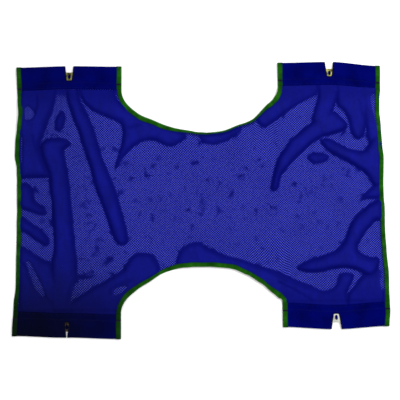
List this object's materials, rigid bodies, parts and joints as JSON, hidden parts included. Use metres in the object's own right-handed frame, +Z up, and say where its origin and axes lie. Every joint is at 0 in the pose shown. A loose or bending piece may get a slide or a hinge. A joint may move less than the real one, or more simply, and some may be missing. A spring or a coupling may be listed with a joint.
{
  "type": "patient lift sling",
  "caption": "One-piece mesh sling for a patient lift: wide back and seat panels joined at a narrower waist, with bound edges and a notched, barred hem at each corner.",
  "frame": {"origin": "middle of the footprint, on the surface the sling lies on", "axes": "+X along the long side from the back panel to the seat panel, +Y across to the user's left, +Z up"},
  "size_m": [1.4, 1.03, 0.0074],
  "materials": {
    "navy_mesh": "warp-knitted polyester mesh, matt",
    "navy_hem_cloth": "woven polyester, matt",
    "green_binding_tape": "woven tape, slight sheen",
    "yellow_zinc_steel": "yellow zinc plate, worn bright"
  },
  "bodies": {
    "back_panel": {"mesh_back": "navy_mesh", "side_binding_back": "green_binding_tape", "arch_binding_back_left": "green_binding_tape", "arch_binding_back_right": "green_binding_tape"},
    "seat_panel": {"mesh_seat": "navy_mesh", "side_binding_seat": "green_binding_tape", "arch_binding_seat_left": "green_binding_tape", "arch_binding_seat_right": "green_binding_tape"},
    "hem_back_left": {"sleeve_back_left": "navy_hem_cloth", "mesh_tongue_back_left": "navy_mesh", "end_binding_back_left_outer": "green_binding_tape", "end_binding_back_left_inner": "green_binding_tape"},
    "bar_back_left": {"hanger_bar_back_left": "yellow_zinc_steel"},
    "hem_back_right": {"sleeve_back_right": "navy_hem_cloth", "mesh_tongue_back_right": "navy_mesh", "end_binding_back_right_outer": "green_binding_tape", "end_binding_back_right_inner": "green_binding_tape"},
    "bar_back_right": {"hanger_bar_back_right": "yellow_zinc_steel"},
    "hem_seat_left": {"sleeve_seat_left": "navy_hem_cloth", "mesh_tongue_seat_left": "navy_mesh", "end_binding_seat_left_outer": "green_binding_tape", "end_binding_seat_left_inner": "green_binding_tape"},
    "bar_seat_left": {"hanger_bar_seat_left": "yellow_zinc_steel"},
    "hem_seat_right": {"sleeve_seat_right": "navy_hem_cloth", "mesh_tongue_seat_right": "navy_mesh", "end_binding_seat_right_outer": "green_binding_tape", "end_binding_seat_right_inner": "green_binding_tape"},
    "bar_seat_right": {"hanger_bar_seat_right": "yellow_zinc_steel"}
  },
  "joints": [
    {"name": "waist_fold", "type": "hinge", "parent": "back_panel", "child": "seat_panel", "pos_m": [0, 0, 0.0055], "axis": [0, -1, 0], "range_deg": [0, 120]},
    {"name": "hem_fold_back_left", "type": "hinge", "parent": "back_panel", "child": "hem_back_left", "pos_m": [-0.5, 0.415, 0.0055], "axis": [1, 0, 0], "range_deg": [0, 165]},
    {"name": "bar_play_back_left", "type": "slide", "parent": "hem_back_left", "child": "bar_back_left", "axis": [1, 0, 0], "range_m": [-0.005, 0.005]},
    {"name": "hem_fold_back_right", "type": "hinge", "parent": "back_panel", "child": "hem_back_right", "pos_m": [-0.5, -0.425, 0.0055], "axis": [-1, 0, 0], "range_deg": [0, 165]},
    {"name": "bar_play_back_right", "type": "slide", "parent": "hem_back_right", "child": "bar_back_right", "axis": [1, 0, 0], "range_m": [-0.005, 0.005]},
    {"name": "hem_fold_seat_left", "type": "hinge", "parent": "seat_panel", "child": "hem_seat_left", "pos_m": [0.5, 0.425, 0.0055], "axis": [1, 0, 0], "range_deg": [0, 165]},
    {"name": "bar_play_seat_left", "type": "slide", "parent": "hem_seat_left", "child": "bar_seat_left", "axis": [1, 0, 0], "range_m": [-0.005, 0.005]},
    {"name": "hem_fold_seat_right", "type": "hinge", "parent": "seat_panel", "child": "hem_seat_right", "pos_m": [0.5, -0.4, 0.0055], "axis": [-1, 0, 0], "range_deg": [0, 165]},
    {"name": "bar_play_seat_right", "type": "slide", "parent": "hem_seat_right", "child": "bar_seat_right", "axis": [1, 0, 0], "range_m": [-0.005, 0.005]}
  ]
}
